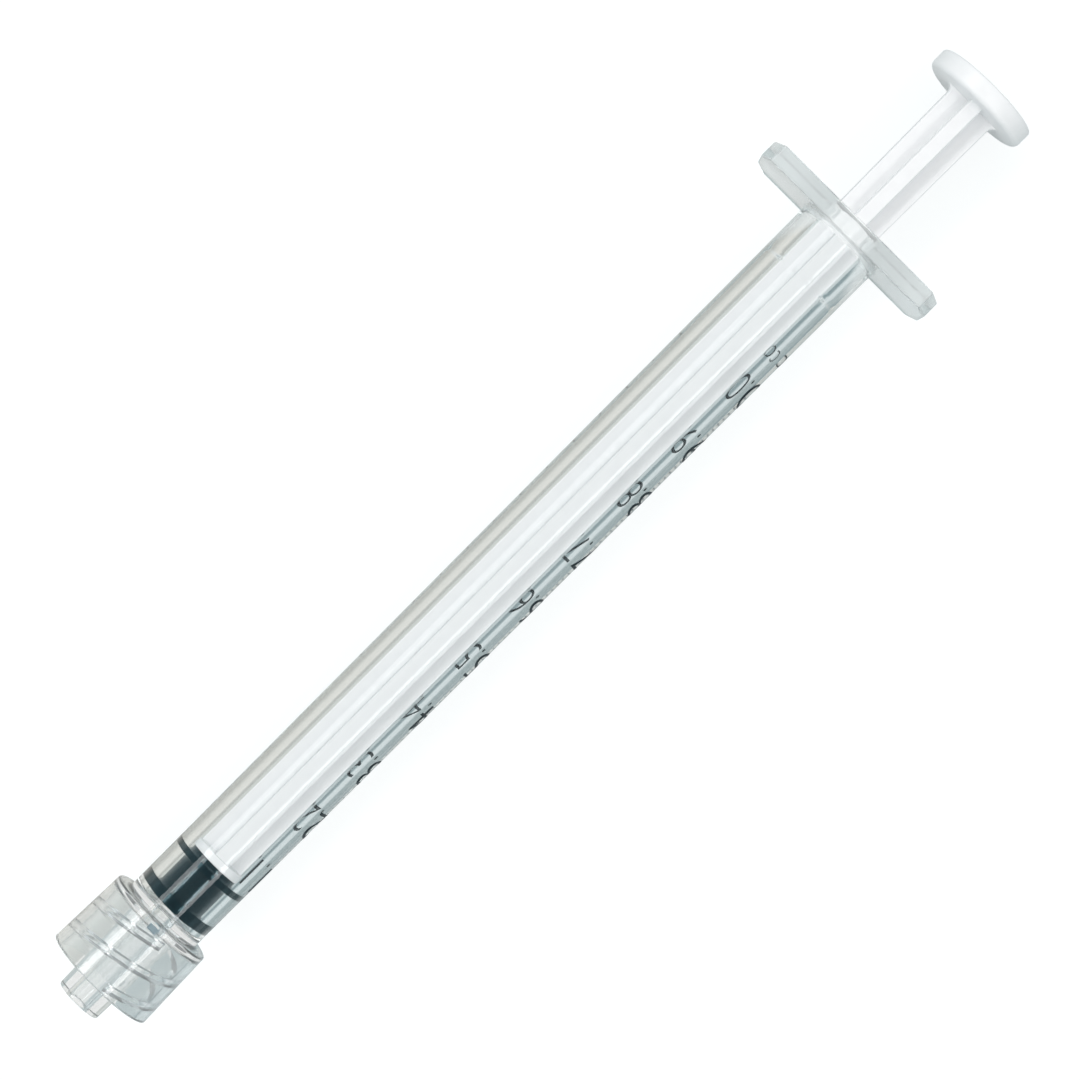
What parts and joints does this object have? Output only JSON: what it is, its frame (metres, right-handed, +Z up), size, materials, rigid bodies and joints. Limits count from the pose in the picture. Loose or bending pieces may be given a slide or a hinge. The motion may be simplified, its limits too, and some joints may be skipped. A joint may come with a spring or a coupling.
{
  "type": "ivf syringe",
  "caption": "Slim clear syringe with a luer-lock collar, white cross-ribbed plunger, black rubber gasket and octagonal finger flange, lying at rest with the plunger pushed home.",
  "frame": {"origin": "on the surface that the syringe lies on, under the middle of its length", "axes": "+X along the syringe from the luer tip to the thumb disc, +Y along the long way of the finger flange, +Z up from the surface. The syringe's own axis climbs from the tip by 0.478 degrees, as it does when it rests on the collar's rim and the flange."},
  "size_m": [0.1, 0.0176, 0.011],
  "materials": {
    "clear_plastic": "clear, glossy, moulded",
    "black_rubber": "smooth, lightly siliconed",
    "white_plastic": "satin, moulded"
  },
  "bodies": {
    "barrel": {"barrel": "clear_plastic"},
    "gasket": {"gasket": "black_rubber"},
    "plunger": {"plunger": "white_plastic"}
  },
  "joints": [
    {"name": "gasket_slide", "type": "slide", "parent": "barrel", "child": "gasket", "axis": [1, 0, 0.0083], "range_m": [-0.0004, 0.063]},
    {"name": "plunger_spin", "type": "hinge", "parent": "gasket", "child": "plunger", "pos_m": [-0.03483, 0, 0.00493], "axis": [1, 0, 0.0083], "continuous": true}
  ]
}
